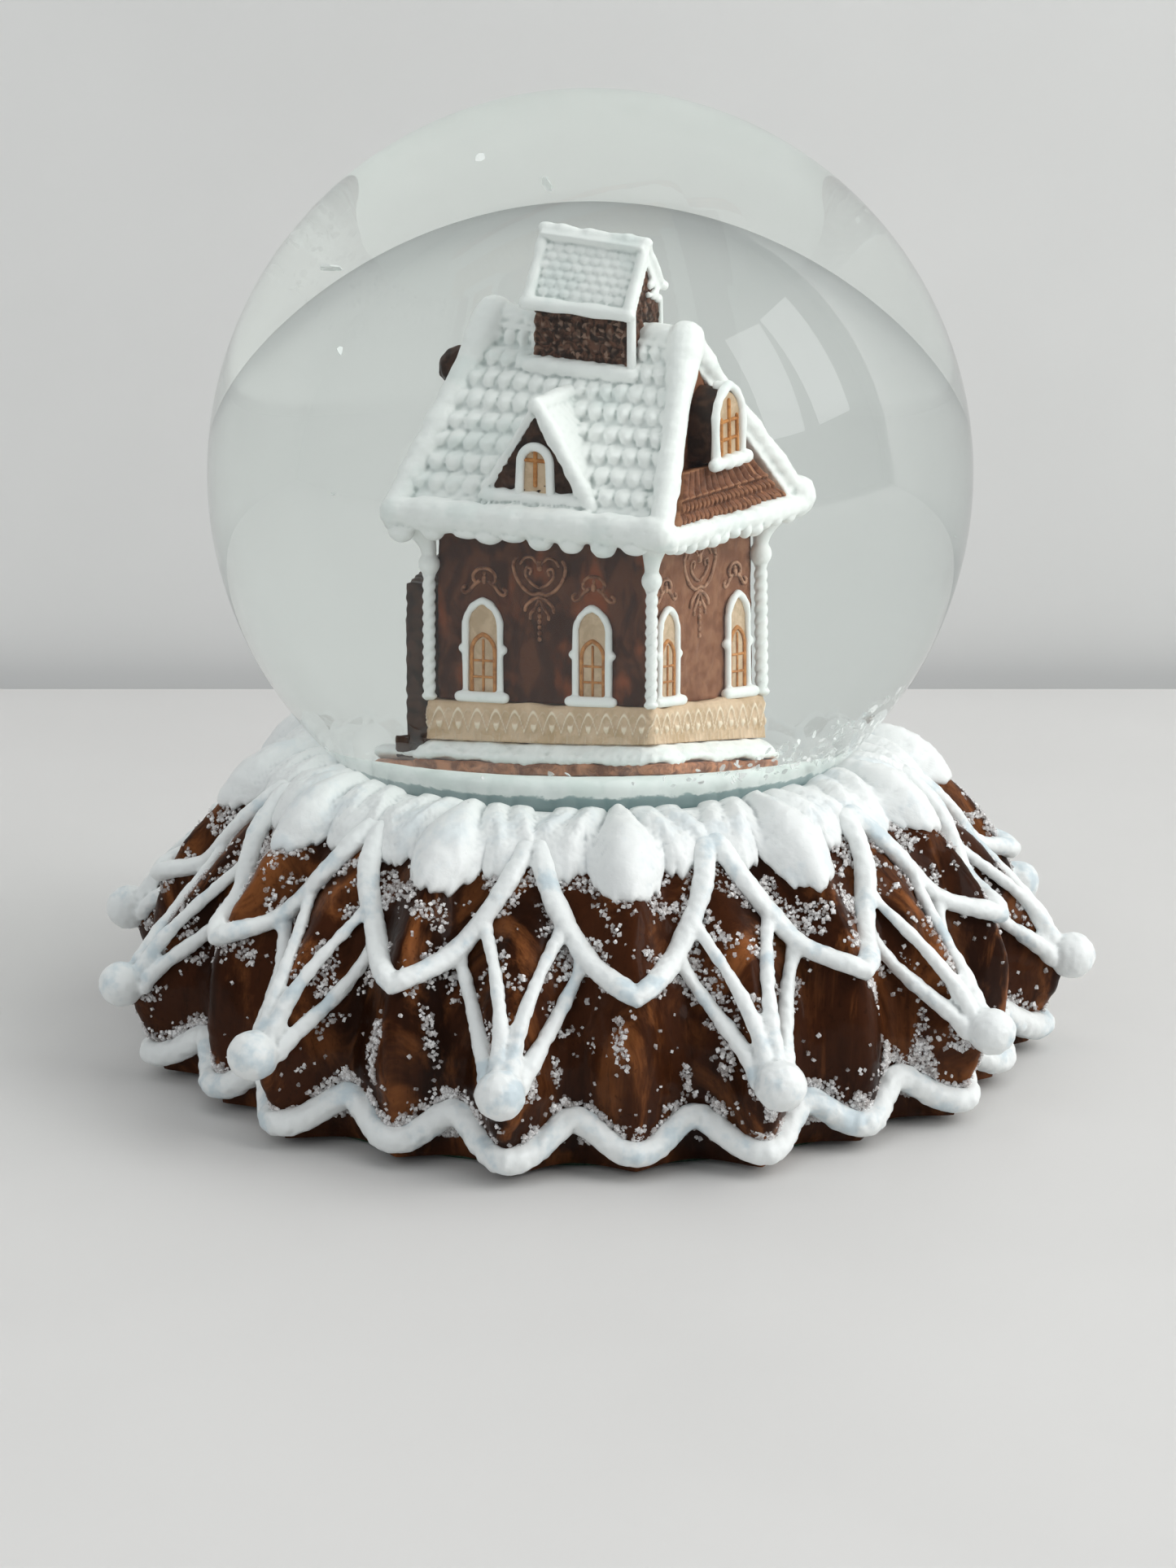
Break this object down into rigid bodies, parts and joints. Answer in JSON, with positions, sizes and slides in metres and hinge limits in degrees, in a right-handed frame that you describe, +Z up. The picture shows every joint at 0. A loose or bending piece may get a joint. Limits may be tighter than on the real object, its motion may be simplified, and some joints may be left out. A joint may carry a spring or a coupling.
{
  "type": "snow globe",
  "caption": "Musical water globe with an iced gingerbread house inside, on a fluted round gingerbread base trimmed with piped icing and pearls.",
  "frame": {"origin": "centre of the resting plane, under the globe's axis", "axes": "+Z up along the globe's axis, -Y towards the front, from which the long wall of the house shows on the left and its gable on the right"},
  "size_m": [0.1338, 0.1338, 0.1257],
  "materials": {
    "gingerbread": "gloss",
    "icing": "satin",
    "felt": "matte",
    "cover_board": "matte",
    "zinc": "satin",
    "clear_adhesive": "gloss",
    "clear_glass": "polished",
    "black_rubber": "matte",
    "snow": "matte",
    "liquid": "gloss",
    "plinth_brown": "satin",
    "cream_paint": "satin",
    "wall_brown": "satin",
    "pane_beige": "satin",
    "brass": "satin",
    "spring_steel": "satin",
    "nylon": "matte"
  },
  "bodies": {
    "base": {"base_casting": "gingerbread", "cream_garland": "icing", "petal_piping": "icing", "fan_piping": "icing", "pearls": "icing", "wave_piping": "icing", "felt_ring": "felt", "bottom_cover": "cover_board", "cover_screws": "zinc", "globe_adhesive": "clear_adhesive", "glass_globe": "clear_glass", "neck_gasket": "black_rubber", "stopper": "black_rubber", "snow_ground": "snow", "liquid_fill": "liquid", "snow_flakes": "snow", "house_plinth": "plinth_brown", "plinth_snow": "snow", "skirting": "cream_paint", "house_walls": "wall_brown", "corner_columns": "icing", "window_frames": "icing", "window_panes": "pane_beige", "main_roof": "icing", "gable_canopy": "plinth_brown", "oriel_window": "pane_beige", "chimney": "wall_brown", "dormers": "wall_brown", "dormer_roofs": "icing", "cupola_walls": "wall_brown", "cupola_roof": "icing", "bedplate": "zinc", "movement_screws": "zinc", "cylinder_bearings": "zinc", "comb_block": "zinc", "comb": "spring_steel", "comb_screws": "zinc", "governor_bracket": "zinc"},
    "winding_key": {"winding_key": "brass", "winding_arbor": "zinc"},
    "spring_barrel": {"spring_barrel": "brass", "mainspring": "spring_steel"},
    "tune_cylinder": {"tune_cylinder": "brass", "tune_pins": "brass", "cylinder_shaft": "zinc", "crown_pinion": "brass", "cylinder_wheel": "brass"},
    "governor_wheel": {"governor_wheel": "nylon"},
    "governor_fly": {"governor_fly": "nylon"}
  },
  "joints": [
    {"name": "winding_key", "type": "hinge", "parent": "base", "child": "winding_key", "pos_m": [0, 0, 0.005], "axis": [0, 0, 1], "range_deg": [0, 1170]},
    {"name": "cylinder_spin", "type": "hinge", "parent": "base", "child": "tune_cylinder", "pos_m": [0.0227, 0, 0.0212], "axis": [1, 0, 0], "continuous": true},
    {"name": "barrel_spin", "type": "hinge", "parent": "base", "child": "spring_barrel", "pos_m": [0, 0, 0.0148], "axis": [0, 0, 1], "continuous": true},
    {"name": "governor_wheel_spin", "type": "hinge", "parent": "base", "child": "governor_wheel", "pos_m": [0.0342, 0.0084, 0.0212], "axis": [1, 0, 0], "continuous": true},
    {"name": "governor_fly_spin", "type": "hinge", "parent": "base", "child": "governor_fly", "pos_m": [0.0351, 0.015, 0.0212], "axis": [0, 0, 1], "continuous": true}
  ],
  "couplings": [
    {"joint": "barrel_spin", "follows": "cylinder_spin", "ratio": 0.4},
    {"joint": "governor_wheel_spin", "follows": "cylinder_spin", "ratio": -2.5},
    {"joint": "governor_fly_spin", "follows": "cylinder_spin", "ratio": 50}
  ]
}
